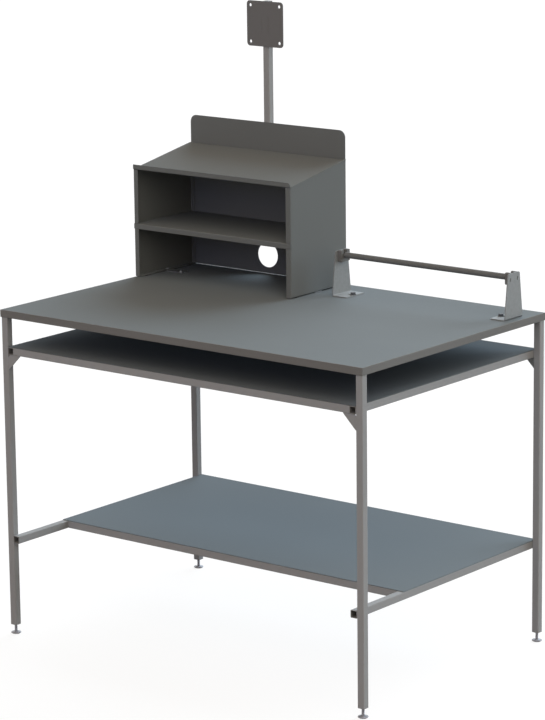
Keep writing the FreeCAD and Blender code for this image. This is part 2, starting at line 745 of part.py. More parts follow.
def roll_washer(low):
    disc = rod("xy", bolt_x, roll_y, WASHER_RADIUS, low, low + WASHER)
    return disc.cut(rod("xy", bolt_x, roll_y, BOLT_RADIUS + HOLE_FIT / 2.0, low, low + WASHER))


def roll_nut():
    low = under_z - WASHER - NUT
    nut = hexagon("xy", bolt_x, roll_y, BOLT_ACROSS, low, low + NUT)
    return nut.cut(rod("xy", bolt_x, roll_y, BOLT_RADIUS + THREAD_FIT, low, low + NUT))


def frame_nodes():
    nodes = {}
    for name, (x, y) in corners.items():
        nodes["leg_" + name] = [leg(x, y)]
        nodes["foot_" + name] = [foot(x, y)]
        nodes["foot_pad_" + name] = [foot_pad(x, y)]
        nodes["gusset_" + name] = [gusset(x, y)]
    places = list(corners.values())
    insert_z = under_z - INSERT_LENGTH
    top_hole = TOP_STUD_RADIUS + THREAD_FIT
    foot_hole = FOOT_STUD_RADIUS + RUN_FIT
    nodes["leg_top_inserts"] = [leg_insert(x, y, insert_z, top_hole) for x, y in places]
    nodes["leg_bottom_inserts"] = [leg_insert(x, y, FOOT_HEIGHT, foot_hole) for x, y in places]
    nodes["leg_top_studs"] = [leg_top_stud(x, y) for x, y in places]
    front_rows = {"mid": frame_front_y, "lower": lower_front_y}
    heights = {"mid": mid_rail_z, "lower": LOWER_RAIL_HEIGHT}
    for level, z in heights.items():
        right, left = both_sides(side_rail(z), 0.0)
        nodes[level + "_rail_left"] = [left]
        nodes[level + "_rail_right"] = [right]
        nodes[level + "_rail_front"] = [cross_rail(front_rows[level] + TUBE / 2.0, z)]
        nodes[level + "_rail_rear"] = [cross_rail(frame_back_y - TUBE / 2.0, z)]
        nodes[level + "_shelf_panel"] = [shelf_panel(front_rows[level], z)]
    return nodes


def unit_nodes():
    right, left = both_sides(unit_side(), unit_mid_x)
    return {
        "unit_side_left": [left],
        "unit_side_right": [right],
        "unit_back_panel": [unit_back_panel()],
        "unit_mid_shelf": [unit_mid_shelf()],
        "unit_top_sheet": [unit_top_sheet()],
        "unit_pads": unit_pads(),
        "unit_fixing_feet": unit_fixing_feet(),
        "unit_fixing_screws": [fixing_screw(x, z) for x, z in fixing_screw_places()],
    }


def pole_nodes():
    return {
        "screen_pole": [screen_pole()],
        "pole_caps": pole_caps(),
        "pole_saddles": [pole_saddle(z) for z in saddle_heights()],
        "pole_studs": [pole_stud(x, z) for x, z in saddle_stud_places()],
        "pole_saddle_nuts": [pole_saddle_nut(x, z) for x, z in saddle_stud_places()],
        "screen_plate": [screen_plate()],
        "screen_clamp_strap": [screen_clamp_strap()],
        "screen_clamp_nut": [screen_clamp_nut()],
        "screen_clamp_bolt": [screen_clamp_bolt()],
    }


def roll_nodes():
    bracket_left, bracket_right = both_sides(roll_bracket(), roll_mid_x)
    saddle_left, saddle_right = both_sides(roll_saddle(), roll_mid_x)
    washers = both_sides(roll_washer(top_z + BRACKET_SHEET), roll_mid_x)
    washers += both_sides(roll_washer(under_z - WASHER), roll_mid_x)
    return {
        "roll_bracket_left": [bracket_left],
        "roll_bracket_right": [bracket_right],
        "roll_saddle_left": [saddle_left],
        "roll_saddle_right": [saddle_right],
        "roll_bar_tube": [roll_bar_tube()],
        "roll_bar_plugs": both_sides(roll_bar_plug(), roll_mid_x),
        "roll_bracket_bolts": both_sides(roll_bolt(), roll_mid_x),
        "roll_bracket_washers": washers,
        "roll_bracket_nuts": both_sides(roll_nut(), roll_mid_x),
    }


def main():
    os.makedirs("parts", exist_ok=True)
    nodes = {"desktop_board": [desktop_board()], "desktop_edge_bands": desktop_edge_bands()}
    nodes.update(frame_nodes())
    nodes.update(unit_nodes())
    nodes.update(pole_nodes())
    nodes.update(roll_nodes())
    for name, solids in nodes.items():
        shape = solids[0] if len(solids) == 1 else Part.makeCompound(solids)
        shape.exportStep("parts/" + name + ".step")
    print(len(nodes), "pieces")


main()
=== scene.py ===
import json
import math

import bpy
from mathutils import Matrix, Vector


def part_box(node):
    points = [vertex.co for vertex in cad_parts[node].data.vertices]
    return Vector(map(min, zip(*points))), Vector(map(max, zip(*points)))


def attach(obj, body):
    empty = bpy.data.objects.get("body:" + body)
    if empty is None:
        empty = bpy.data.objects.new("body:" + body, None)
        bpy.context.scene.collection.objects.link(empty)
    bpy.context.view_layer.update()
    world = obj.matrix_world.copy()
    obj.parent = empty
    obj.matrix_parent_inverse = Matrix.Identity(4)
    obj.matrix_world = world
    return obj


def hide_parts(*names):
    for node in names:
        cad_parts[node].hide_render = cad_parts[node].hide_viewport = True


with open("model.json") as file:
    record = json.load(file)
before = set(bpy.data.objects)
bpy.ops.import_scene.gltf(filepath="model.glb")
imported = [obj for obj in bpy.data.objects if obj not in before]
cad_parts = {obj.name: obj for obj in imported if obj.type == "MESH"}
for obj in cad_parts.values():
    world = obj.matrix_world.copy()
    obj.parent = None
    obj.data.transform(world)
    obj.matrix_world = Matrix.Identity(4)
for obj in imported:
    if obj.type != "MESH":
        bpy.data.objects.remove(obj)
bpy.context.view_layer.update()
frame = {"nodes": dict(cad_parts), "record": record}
mm = 0.001


# a socket that takes part in Python sums; each sum adds its Math node
class Wire:
    def __init__(self, finish, socket):
        self.finish = finish
        self.socket = socket

    def sum(self, operation, first, second):
        return self.finish.node("ShaderNodeMath", {"operation": operation}, {0: first, 1: second})

    def __add__(self, other):
        return self.sum("ADD", self, other)

    def __radd__(self, other):
        return self.sum("ADD", other, self)

    def __sub__(self, other):
        return self.sum("SUBTRACT", self, other)

    def __rsub__(self, other):
        return self.sum("SUBTRACT", other, self)

    def __mul__(self, other):
        return self.sum("MULTIPLY", self, other)

    def __rmul__(self, other):
        return self.sum("MULTIPLY", other, self)


# one node tree, of a material or of the world, and what its nodes are made with
class Finish:
    def __init__(self, tree):
        self.tree = tree
        self.tree.nodes.clear()

    def node(self, kind, settings=None, sockets=None, output=0):
        made = self.tree.nodes.new(kind)
        for key, value in (settings or {}).items():
            if key == "stops":
                self.setStops(made.color_ramp, value)
            else:
                setattr(made, key, value)
        for key, value in (sockets or {}).items():
            if isinstance(value, Wire):
                self.tree.links.new(value.socket, made.inputs[key])
            else:
                made.inputs[key].default_value = value
        if made.outputs:
            return Wire(self, made.outputs[output])

    def setStops(self, ramp, stops):
        while len(ramp.elements) < len(stops):
            ramp.elements.new(0.5)
        for element, (place, shade) in zip(ramp.elements, stops):
            element.position = place
            element.color = (shade, shade, shade, 1.0)

    def place(self):
        return self.node("ShaderNodeTexCoord", {}, {}, "Object")

    def stretched(self, place, scale):
        return self.node("ShaderNodeMapping", {}, {"Vector": place, "Scale": scale})

    def noise(self, place, scale, detail=2.0):
        sockets = {"Vector": place, "Scale": scale, "Detail": detail}
        return self.node("ShaderNodeTexNoise", {}, sockets, "Fac")

    # 0 below the low value, 1 above the high one
    def step(self, value, low, high):
        settings = {"stops": [(low, 0.0), (high, 1.0)]}
        return self.node("ShaderNodeValToRGB", settings, {"Fac": value})

    def toned(self, colour, tone):
        sockets = {0: colour, "Scale": tone}
        return self.node("ShaderNodeVectorMath", {"operation": "SCALE"}, sockets)

    def mixed(self, share, first, second):
        sockets = {0: share, 6: first, 7: second}
        return self.node("ShaderNodeMix", {"data_type": "RGBA"}, sockets, 2)

    def dot(self, first, second):
        sockets = {0: first, 1: second}
        return self.node("ShaderNodeVectorMath", {"operation": "DOT_PRODUCT"}, sockets, "Value")

    def clamped(self, value):
        return self.node("ShaderNodeClamp", {}, {"Value": value})

    def facing(self):
        return self.node("ShaderNodeNewGeometry", {}, {}, "Normal")

    def softEdge(self, radius):
        return self.node("ShaderNodeBevel", {"samples": 4}, {"Radius": radius})

    # 1 where the soft edge turns away from the true face
    def edgeMask(self, soft, gain):
        return self.clamped((1 - self.dot(soft, self.facing())) * gain)

    # 1 on the walls inside a tube that runs front to back, less on its sawn ends
    def sawn(self, endShare):
        facing = self.facing()
        place = self.node("ShaderNodeTexCoord", {}, {}, "Generated")
        across = self.node("ShaderNodeVectorMath", {"operation": "MULTIPLY_ADD"},
                           {0: place, 1: (1.0, 0.0, 1.0), 2: (-0.5, 0.0, -0.5)})
        steep = 1000.0  # so that a wall is wholly inside or outside
        inside = self.clamped(self.dot(across, facing) * -steep)
        along = self.dot(facing, (0.0, 1.0, 0.0))
        return self.clamped(inside + along * along * endShare)

    def bump(self, height, distance, strength, normal):
        sockets = {"Height": height, "Distance": distance, "Strength": strength, "Normal": normal}
        return self.node("ShaderNodeBump", {}, sockets)

    def surface(self, sockets):
        shader = self.node("ShaderNodeBsdfPrincipled", {}, sockets)
        self.node("ShaderNodeOutputMaterial", {}, {"Surface": shader})


def newFinish(name):
    material = bpy.data.materials.new(name)
    material.use_nodes = True
    return material, Finish(material.node_tree)


def rgba(colour):
    return (colour[0], colour[1], colour[2], 1.0)


# patterns that all the powder coats share: their noise scales, and how far each one shows
coatGrain = {"driftScale": 2.4, "driftTone": 0.12, "speckScale": 2600.0, "speckTone": 0.1,
             "peelDeep": 0.05 * mm, "peelRelief": 0.5, "peelRough": 0.16,
             "smearScale": 1.6, "smearStretch": (5.0, 5.0, 9.0), "smearLimits": (0.52, 0.75),
             "smearRough": 0.07, "wearAndShadeScale": 60.0, "wearAndShadeLimits": (0.3, 0.7), "edgeGain": 2.2}
tubePaint = dict(coatGrain, name="tubePaint", colour=(0.284, 0.284, 0.284), edge=(0.312, 0.312, 0.312),
                 edgeSize=0.8 * mm, rough=0.65, peelScale=420.0, gloss=0.02)
openTube = dict(tubePaint, name="openTube", raw=(0.14, 0.136, 0.131), rawEnds=0.45)  # rails with open ends
# the shelf paint's near-black edge colour is painted shade: the shadow line along the sheet edges where
# they lie on the rails
shelfPaint = dict(coatGrain, name="shelfPaint", colour=(0.152, 0.173, 0.185), edge=(0.03, 0.032, 0.034),
                  edgeSize=1.2 * mm, rough=0.8, peelScale=420.0, gloss=0.0)
shadedShelfPaint = dict(shelfPaint, name="shadedShelfPaint", colour=(0.12, 0.132, 0.14))  # painted shade: a darker copy of the shelf paint for the mid shelf, which lies in the worktop's shade
unitPaint = dict(coatGrain, name="unitPaint", colour=(0.143, 0.151, 0.149), edge=(0.181, 0.189, 0.187),
                 edgeSize=0.7 * mm, rough=0.7, peelScale=460.0, gloss=0.02)
platePaint = dict(coatGrain, name="platePaint", colour=(0.154, 0.152, 0.151), edge=(0.19, 0.188, 0.186),
                  edgeSize=0.8 * mm, rough=0.65, peelScale=460.0, gloss=0.02)


# powder coat: orange peel, a fine speckle, tone that drifts over a panel, and paler worn edges; on the
# shelf paint the edges are dark instead, painted shade along the sheet edges;
# a tube with a raw colour has no paint inside and less of it on its sawn ends
def powderCoat(look):
    material, f = newFinish(look["name"])
    place = f.place()
    drift = f.noise(place, look["driftScale"], detail=1.0)
    peel = f.noise(place, look["peelScale"], detail=1.0)
    speck = f.noise(place, look["speckScale"], detail=1.0)
    streaks = f.noise(f.stretched(place, look["smearStretch"]), look["smearScale"], detail=4.0)
    smear = f.step(streaks, *look["smearLimits"])
    soft = f.softEdge(look["edgeSize"])
    # patches that break up the edge colour: paler wear on most coats, a dark painted shade line on the
    # shelf paint
    wearAndShadePatches = f.step(f.noise(place, look["wearAndShadeScale"], detail=3.0), *look["wearAndShadeLimits"])
    edgeWearAndShade = f.edgeMask(soft, look["edgeGain"]) * wearAndShadePatches
    tone = 1 + (drift - 0.5) * look["driftTone"] + (speck - 0.5) * look["speckTone"]
    colour = f.mixed(edgeWearAndShade, f.toned(look["colour"], tone), rgba(look["edge"]))
    if "raw" in look:
        colour = f.mixed(f.sawn(look["rawEnds"]), colour, f.toned(look["raw"], tone))
    rough = look["rough"] + (peel - 0.5) * look["peelRough"] + smear * look["smearRough"]
    f.surface({"Base Color": colour, "Roughness": rough, "Specular IOR Level": look["gloss"],
               "Normal": f.bump(peel, look["peelDeep"], look["peelRelief"], soft)})
    return material


laminate = {"name": "laminate", "colour": (0.1465, 0.161, 0.166), "fleck": (0.177, 0.191, 0.196),
            "cloudScale": 3.0, "cloudTone": 0.1,
            "fleckScale": 700.0, "fleckLimits": (0.52, 0.7), "fleckShare": 0.35,
            "grainScale": 1500.0, "grainStretch": (1.0, 2.2, 1.0), "grainTone": 0.08, "grainRough": 0.12,
            "grainDeep": 0.03 * mm, "grainRelief": 0.4,
            "hazeScale": 1.3, "hazeStretch": (2.0, 7.0, 1.0), "hazeLimits": (0.45, 0.75), "hazeRough": 0.06,
            "rough": 0.8, "gloss": 0.01, "edgeSize": 0.4 * mm}


# laminate: matt press-plate grain with pale flecks and the haze of wiping
def laminateTop(look):
    material, f = newFinish(look["name"])
    place = f.place()
    cloud = f.noise(place, look["cloudScale"], detail=3.0)
    fleck = f.step(f.noise(place, look["fleckScale"], detail=2.0), *look["fleckLimits"])
    grain = f.noise(f.stretched(place, look["grainStretch"]), look["grainScale"], detail=1.0)
    wiped = f.noise(f.stretched(place, look["hazeStretch"]), look["hazeScale"], detail=5.0)
    haze = f.step(wiped, *look["hazeLimits"])
    soft = f.softEdge(look["edgeSize"])
    tone = 1 + (cloud - 0.5) * look["cloudTone"] + (grain - 0.5) * look["grainTone"]
    colour = f.mixed(fleck * look["fleckShare"], f.toned(look["colour"], tone), rgba(look["fleck"]))
    rough = look["rough"] + (grain - 0.5) * look["grainRough"] - haze * look["hazeRough"]
    f.surface({"Base Color": colour, "Roughness": rough, "Specular IOR Level": look["gloss"],
               "Normal": f.bump(grain, look["grainDeep"], look["grainRelief"], soft)})
    return material


edgeBand = {"name": "edgeBand", "colour": (0.16, 0.157, 0.151), "edge": (0.19, 0.187, 0.18),
            "lineStretch": (6.0, 6.0, 900.0), "lineTone": 0.12, "lineRough": 0.2,
            "lineDeep": 0.03 * mm, "lineRelief": 0.4, "cloudScale": 9.0, "cloudTone": 0.08,
            "scrapeScale": 40.0, "scrapeLimits": (0.35, 0.7), "edgeGain": 2.0,
            "rough": 0.65, "gloss": 0.03, "edgeSize": 0.9 * mm}


# extruded edge band: faint draw lines along its length, scraped corners
def edgeBandPlastic(look):
    material, f = newFinish(look["name"])
    place = f.place()
    lines = f.noise(f.stretched(place, look["lineStretch"]), 1.0, detail=3.0)
    cloud = f.noise(place, look["cloudScale"], detail=2.0)
    soft = f.softEdge(look["edgeSize"])
    knocks = f.step(f.noise(place, look["scrapeScale"], detail=4.0), *look["scrapeLimits"])
    scraped = f.edgeMask(soft, look["edgeGain"]) * knocks
    tone = 1 + (lines - 0.5) * look["lineTone"] + (cloud - 0.5) * look["cloudTone"]
    colour = f.mixed(scraped, f.toned(look["colour"], tone), rgba(look["edge"]))
    rough = look["rough"] + (lines - 0.5) * look["lineRough"]
    f.surface({"Base Color": colour, "Roughness": rough, "Specular IOR Level": look["gloss"],
               "Normal": f.bump(lines, look["lineDeep"], look["lineRelief"], soft)})
    return material


bracketSteel = {"name": "bracketSteel", "colour": (0.24, 0.249, 0.25), "pale": (0.31, 0.319, 0.322),
                "spangleScale": 150.0, "spangleTone": 0.1, "spangleRough": 0.14,
                "waveScale": 40.0, "wave": 6.0 * mm,
                "frostScale": 900.0, "frostTone": 0.08, "frostRough": 0.12,
                "frostDeep": 0.02 * mm, "frostRelief": 0.35, "toneLow": 0.93,
                "edgeGain": 1.6, "edgeShare": 0.6,
                "metal": 0.1, "gloss": 0.05, "rough": 0.6, "edgeSize": 0.9 * mm}


# galvanised sheet: crystals of the zinc, each with its own shade and gloss
def galvanised(look):
    material, f = newFinish(look["name"])
    place = f.place()
    wavy = f.node("ShaderNodeTexNoise", {}, {"Vector": place, "Scale": look["waveScale"]}, "Color")
    bent = f.node("ShaderNodeVectorMath", {"operation": "MULTIPLY_ADD"},
                  {0: wavy, 1: (look["wave"], look["wave"], look["wave"]), 2: place})
    crystal = f.node("ShaderNodeTexVoronoi", {}, {"Vector": bent, "Scale": look["spangleScale"]}, "Color")
    shade = f.node("ShaderNodeSeparateColor", {}, {0: crystal}, 0)
    frost = f.noise(place, look["frostScale"], detail=3.0)
    soft = f.softEdge(look["edgeSize"])
    tone = look["toneLow"] + shade * look["spangleTone"] + frost * look["frostTone"]
    bright = f.edgeMask(soft, look["edgeGain"]) * look["edgeShare"]
    colour = f.mixed(bright, f.toned(look["colour"], tone), rgba(look["pale"]))
    rough = look["rough"] + (shade - 0.5) * look["spangleRough"] + (frost - 0.5) * look["frostRough"]
    f.surface({"Base Color": colour, "Metallic": look["metal"], "Roughness": rough,
               "Specular IOR Level": look["gloss"],
               "Normal": f.bump(frost, look["frostDeep"], look["frostRelief"], soft)})
    return material


barSteel = {"name": "barSteel", "colour": (0.136, 0.139, 0.137), "rub": (0.17, 0.172, 0.17),
            "lineStretch": (14.0, 1300.0, 1300.0), "toneLow": 0.9, "lineTone": 0.2, "lineRough": 0.2,
            "lineDeep": 0.02 * mm, "lineRelief": 0.3,
            "rubStretch": (60.0, 3.0, 3.0), "rubLimits": (0.5, 0.8), "rubShare": 0.4, "rubRough": 0.08,
            "rough": 0.5, "gloss": 0.06, "edgeSize": 0.5 * mm}


# drawn bar: draw lines along its length and rings where rolls have rubbed it
def drawnBar(look):
    material, f = newFinish(look["name"])
    place = f.place()
    lines = f.noise(f.stretched(place, look["lineStretch"]), 1.0, detail=2.0)
    rub = f.step(f.noise(f.stretched(place, look["rubStretch"]), 1.0, detail=4.0), *look["rubLimits"])
    soft = f.softEdge(look["edgeSize"])
    tone = look["toneLow"] + lines * look["lineTone"]
    colour = f.mixed(rub * look["rubShare"], f.toned(look["colour"], tone), rgba(look["rub"]))
    rough = look["rough"] + (lines - 0.5) * look["lineRough"] - rub * look["rubRough"]
    f.surface({"Base Color": colour, "Roughness": rough, "Specular IOR Level": look["gloss"],
               "Normal": f.bump(lines, look["lineDeep"], look["lineRelief"], soft)})
    return material


# patterns that all the zinc plating shares
zincGrain = {"patchScale": 160.0, "patchLimits": (0.4, 0.7), "patchShare": 0.6, "patchRough": 0.14,
             "grainScale": 1800.0, "toneLow": 0.94, "grainTone": 0.12, "grainRough": 0.1,
             "grainDeep": 0.01 * mm, "grainRelief": 0.3, "edgeSize": 0.3 * mm}
zincPlate = dict(zincGrain, name="zincPlate", colour=(0.44, 0.445, 0.46), dull=(0.31, 0.315, 0.325),
                 metal=0.9, rough=0.34)
dullZinc = dict(zincGrain, name="dullZinc", colour=(0.108, 0.114, 0.122), dull=(0.088, 0.093, 0.099),
                metal=0.3, rough=0.5)
footZinc = dict(dullZinc, name="footZinc", colour=(0.315, 0.315, 0.342), dull=(0.254, 0.254, 0.274))


# zinc plate with dull patches
def zinc(look):
    material, f = newFinish(look["name"])
    place = f.place()
    patch = f.step(f.noise(place, look["patchScale"], detail=4.0), *look["patchLimits"])
    grain = f.noise(place, look["grainScale"], detail=2.0)
    soft = f.softEdge(look["edgeSize"])
    tone = look["toneLow"] + grain * look["grainTone"]
    colour = f.mixed(patch * look["patchShare"], f.toned(look["colour"], tone), rgba(look["dull"]))
    rough = look["rough"] + patch * look["patchRough"] + (grain - 0.5) * look["grainRough"]
    f.surface({"Base Color": colour, "Metallic": look["metal"], "Roughness": rough,
               "Normal": f.bump(grain, look["grainDeep"], look["grainRelief"], soft)})
    return material


# patterns that all the moulded pieces share
mouldGrain = {"flowStretch": (20.0, 20.0, 60.0), "flowTone": 0.08, "flowRough": 0.1,
              "sparkTone": 0.12, "sparkRough": 0.15, "sparkDeep": 0.04 * mm, "sparkRelief": 0.5,
              "toneLow": 0.9, "rubScale": 120.0, "rubLimits": (0.3, 0.7), "edgeGain": 2.0}
saddlePlastic = dict(mouldGrain, name="saddlePlastic", colour=(0.143, 0.141, 0.135),
                     edge=(0.19, 0.187, 0.18), edgeSize=0.8 * mm, rough=0.55, sparkScale=1900.0, gloss=0.06)
insertPlastic = dict(mouldGrain, name="insertPlastic", colour=(0.035, 0.035, 0.035),
                     edge=(0.07, 0.07, 0.07), edgeSize=0.5 * mm, rough=0.55, sparkScale=1900.0, gloss=0.1)
padRubber = dict(mouldGrain, name="padRubber", colour=(0.03, 0.03, 0.031),
                 edge=(0.06, 0.058, 0.055), edgeSize=0.6 * mm, rough=0.8, sparkScale=1300.0, gloss=0.1)


# moulded plastic or rubber: spark-eroded grain, paler along the rubbed edges
def moulded(look):
    material, f = newFinish(look["name"])
    place = f.place()
    grain = f.noise(place, look["sparkScale"], detail=2.0)
    flow = f.noise(f.stretched(place, look["flowStretch"]), 1.0, detail=3.0)
    soft = f.softEdge(look["edgeSize"])
    touched = f.step(f.noise(place, look["rubScale"], detail=2.0), *look["rubLimits"])
    rubbed = f.edgeMask(soft, look["edgeGain"]) * touched
    tone = look["toneLow"] + grain * look["sparkTone"] + flow * look["flowTone"]
    colour = f.mixed(rubbed, f.toned(look["colour"], tone), rgba(look["edge"]))
    rough = look["rough"] + (grain - 0.5) * look["sparkRough"] + (flow - 0.5) * look["flowRough"]
    f.surface({"Base Color": colour, "Roughness": rough, "Specular IOR Level": look["gloss"],
               "Normal": f.bump(grain, look["sparkDeep"], look["sparkRelief"], soft)})
    return material


finishes = {
    "laminate": laminateTop(laminate),
    "edge_band": edgeBandPlastic(edgeBand),
    "tube_paint": powderCoat(tubePaint),
    "shelf_paint": powderCoat(shelfPaint),
    "unit_paint": powderCoat(unitPaint),
    "plate_paint": powderCoat(platePaint),
    "bracket_steel": galvanised(bracketSteel),
    "bar_steel": drawnBar(barSteel),
    "dark_plastic": moulded(saddlePlastic),
    "insert_plastic": moulded(insertPlastic),
    "zinc": zinc(zincPlate),
    "dull_zinc": zinc(dullZinc),
    "pad_rubber": moulded(padRubber),
}
for part in frame["record"]["subparts"]:
    node = frame["nodes"][part["node"]]
    node.data.materials.clear()
    node.data.materials.append(finishes[part["material_slot"]])
openFinish = powderCoat(openTube)
for level in ("mid", "lower"):
    for side in ("left", "right"):
        frame["nodes"][level + "_rail_" + side].data.materials[0] = openFinish
# the mid shelf gets the darker copy of the shelf paint: painted shade under the worktop
frame["nodes"]["mid_shelf_panel"].data.materials[0] = powderCoat(shadedShelfPaint)
print("finishes:", len(finishes))


# points of one ring, round the axis z or y that starts at base; reach and rise may change with the turn
def ringAt(base, axis, reach, rise, steps):
    points = []
    for step in range(steps):
        turn = 2.0 * math.pi * step / steps
        out = reach(turn) if callable(reach) else reach
        up = rise(turn) if callable(rise) else rise
        cosine, sine = out * math.cos(turn), out * math.sin(turn)
        offset = (cosine, sine, up) if axis == "z" else (sine, up, cosine)
        points.append(Vector(base) + Vector(offset) * mm)
    return points


# one closed skin over a profile of (reach, rise) in millimetres; a looped one has a bore through it
def skin(base, axis, profile, steps=36, loop=False):
    rings = [ringAt(base, axis, reach, rise, steps) for reach, rise in profile]
    points = [point for ring in rings for point in ring]
    faces = []
    for ring in range(len(rings) if loop else len(rings) - 1):
        here, there = ring * steps, (ring + 1) % len(rings) * steps
        for step in range(steps):
            after = (step + 1) % steps
            faces.append((here + step, here + after, there + after, there + step))
    if not loop:
        faces.append(tuple(reversed(range(steps))))
        faces.append(tuple(range(len(points) - steps, len(points))))
    return points, faces


sharpAngle = math.radians(32.0)  # edges over this stay sharp, the rest is shaded round


# one piece from several skins; it stands for its CAD node and moves with its body
def makePiece(name, skins, node, body, finish):
    points, faces = [], []
    for skinPoints, skinFaces in skins:
        start = len(points)
        points += skinPoints
        faces += [tuple(corner + start for corner in face) for face in skinFaces]
    mesh = bpy.data.meshes.new(name)
    mesh.from_pydata(points, [], faces)
    mesh.polygons.foreach_set("use_smooth", [True] * len(mesh.polygons))
    mesh.set_sharp_from_angle(angle=sharpAngle)
    mesh.materials.append(finish)
    piece = bpy.data.objects.new(name, mesh)
    bpy.context.scene.collection.objects.link(piece)
    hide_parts(node)
    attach(piece, body)


# what hexagon heads and nuts share; the flat is the round face that the chamfer leaves
hexagon = {"flatShare": 0.47, "chamfer": math.radians(30.0), "washerFace": 0.3,
           "dishRim": 0.7, "dishFoot": 1.2, "dishDeep": 0.25, "mouth": 0.5}


# reach of a hexagon that has a corner where the turn starts
def hexReach(across):
    return lambda turn: across / 2.0 / math.cos(turn % (math.pi / 3.0) - math.pi / 6.0)


# how far the chamfer cuts the corners of a hexagon back
def hexFall(across, flat):
    reach = hexReach(across)
    return lambda turn: max(reach(turn) - flat, 0.0) * math.tan(hexagon["chamfer"])


# hexagon head from its washer face at low up to the shallow dish at high
def hexHead(across, low, high):
    flat = hexagon["flatShare"] * across
    reach, fall = hexReach(across), hexFall(across, flat)
    corners = low + hexagon["washerFace"]
    return [(flat, low), (flat, corners), (reach, corners), (reach, lambda turn: high - fall(turn)),
            (flat, high), (flat - hexagon["dishRim"], high),
            (flat - hexagon["dishFoot"], high - hexagon["dishDeep"])]


# hexagon nut with chamfered corners and countersunk mouths
def hexNut(base, axis, across, bore, thick):
    flat = hexagon["flatShare"] * across
    reach, fall = hexReach(across), hexFall(across, flat)
    mouth = hexagon["mouth"]
    profile = [(bore, mouth), (bore + mouth, 0.0), (flat, 0.0), (reach, fall),
               (reach, lambda turn: thick - fall(turn)), (flat, thick),
               (bore + mouth, thick), (bore, thick - mouth)]
    return skin(base, axis, profile, loop=True)


screwThread = {"deepShare": 0.55, "ringsPerTurn": 6.0}


# reach of a thread at one height, from crest to root and back over each turn
def threadReach(major, pitch, rise):
    deep = screwThread["deepShare"] * pitch

    def reach(turn):
        turns = rise / pitch - turn / (2.0 * math.pi)
        return major - deep * (1.0 - abs(2.0 * (turns % 1.0) - 1.0))

    return reach


# rings of a screw thread from low up to high
def thread(major, pitch, low, high):
    ringsPerTurn = screwThread["ringsPerTurn"]
    count = int((high - low) / pitch * ringsPerTurn) + 1
    rises = [low + step * pitch / ringsPerTurn for step in range(count)]
    return [(threadReach(major, pitch, rise), rise) for rise in rises]


# upright axis through the middle of a node's box, and the box
def midBox(node):
    low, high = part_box(node)
    return Vector(((low[0] + high[0]) / 2.0, (low[1] + high[1]) / 2.0, 0.0)), low, high


# levelling feet: a pressed round base with a soft rim, and the stud that screws into the leg; the rims'
# points are in from the edge and up or down from their face, the collar's out from the neck and down;
# at its start and point the stud is narrower by the first value, over a length of the second
levelFoot = {"reach": 13.48, "neck": 6.0, "rimTop": 4.0, "coneTop": 5.5, "legBottom": 25.5,
             "lowerRim": ((1.3, 0.0), (0.4, 0.3), (0.0, 0.9)),
             "upperRim": ((0.0, 0.8), (0.25, 0.3), (0.9, 0.0)),
             "collar": ((1.2, 0.4), (0.4, 0.2), (0.0, 0.0)),
             "stud": 4.0, "pitch": 1.25, "threadInLeg": 3.0, "runOut": 1.0,
             "start": (0.4, 0.5), "slack": 0.1, "point": (0.9, 1.0)}


def makeFoot(corner, look):
    node, body = "foot_" + corner, "foot_" + corner + "_body"
    base, low, high = midBox(node)
    under, tip = low[2] / mm, high[2] / mm
    reach, neck, stud, coneTop = look["reach"], look["neck"], look["stud"], look["coneTop"]
    disc = [(reach - inward, under + up) for inward, up in look["lowerRim"]]
    disc += [(reach - inward, look["rimTop"] - down) for inward, down in look["upperRim"]]
    disc += [(neck + outward, coneTop - down) for outward, down in look["collar"]] + [(stud, coneTop)]
    makePiece("footBase_" + corner, [skin(base, "z", disc, steps=48)], node, body, footFinish)
    threadEnd = look["legBottom"] + look["threadInLeg"]
    plain = stud - look["slack"]
    inward, down = look["start"]
    shank = [(stud - inward, coneTop - down)] + thread(stud, look["pitch"], coneTop, threadEnd)
    inward, down = look["point"]
    shank += [(plain, threadEnd + look["runOut"]), (plain, tip - down), (stud - inward, tip)]
    makePiece("footStud_" + corner, [skin(base, "z", shank)], node, body, footFinish)


footFinish = zinc(footZinc)
for corner in ("front_left", "front_right", "rear_left", "rear_right"):
    makeFoot(corner, levelFoot)
print("levelling feet built")

# bolts of the roll brackets, through the worktop, with their nuts under it
rollBolt = {"across": 13.0, "head": 5.3, "stud": 4.0, "pitch": 1.25, "threaded": 16.0,
            "point": (0.9, 0.6), "runOut": 1.0, "nut": 6.5, "bore": 4.04}


def makeRollBolts(look):
    low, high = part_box("roll_bracket_bolts")
    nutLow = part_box("roll_bracket_nuts")[0]
    half = look["across"] / math.sqrt(3.0) * mm
    tip, top = low[2] / mm, high[2] / mm
    seat = top - look["head"]
    stud, threadEnd = look["stud"], tip + look["threaded"]
    inward, up = look["point"]
    shank = [(stud - inward, tip)] + thread(stud, look["pitch"], tip + up, threadEnd)
    shank += [(stud, threadEnd + look["runOut"]), (stud, seat)]
    bolts, nuts = [], []
    for x in (low[0] + half, high[0] - half):
        base = Vector((x, (low[1] + high[1]) / 2.0, 0.0))
        bolts.append(skin(base, "z", shank + hexHead(look["across"], seat, top)))
        nutBase = base + Vector((0.0, 0.0, nutLow[2]))
        nuts.append(hexNut(nutBase, "z", look["across"], look["bore"], look["nut"]))
    makePiece("rollBolts", bolts, "roll_bracket_bolts", "desk", finishes["dull_zinc"])
    makePiece("rollNuts", nuts, "roll_bracket_nuts", "desk", finishes["dull_zinc"])


makeRollBolts(rollBolt)

# clamp bolt of the screen plate, screwed through its nut against the pole
clampBolt = {"across": 13.0, "head": 5.3, "stud": 4.0, "pitch": 1.25,
             "point": (0.9, 0.6), "undercut": 0.2, "nut": 6.5, "bore": 4.04}


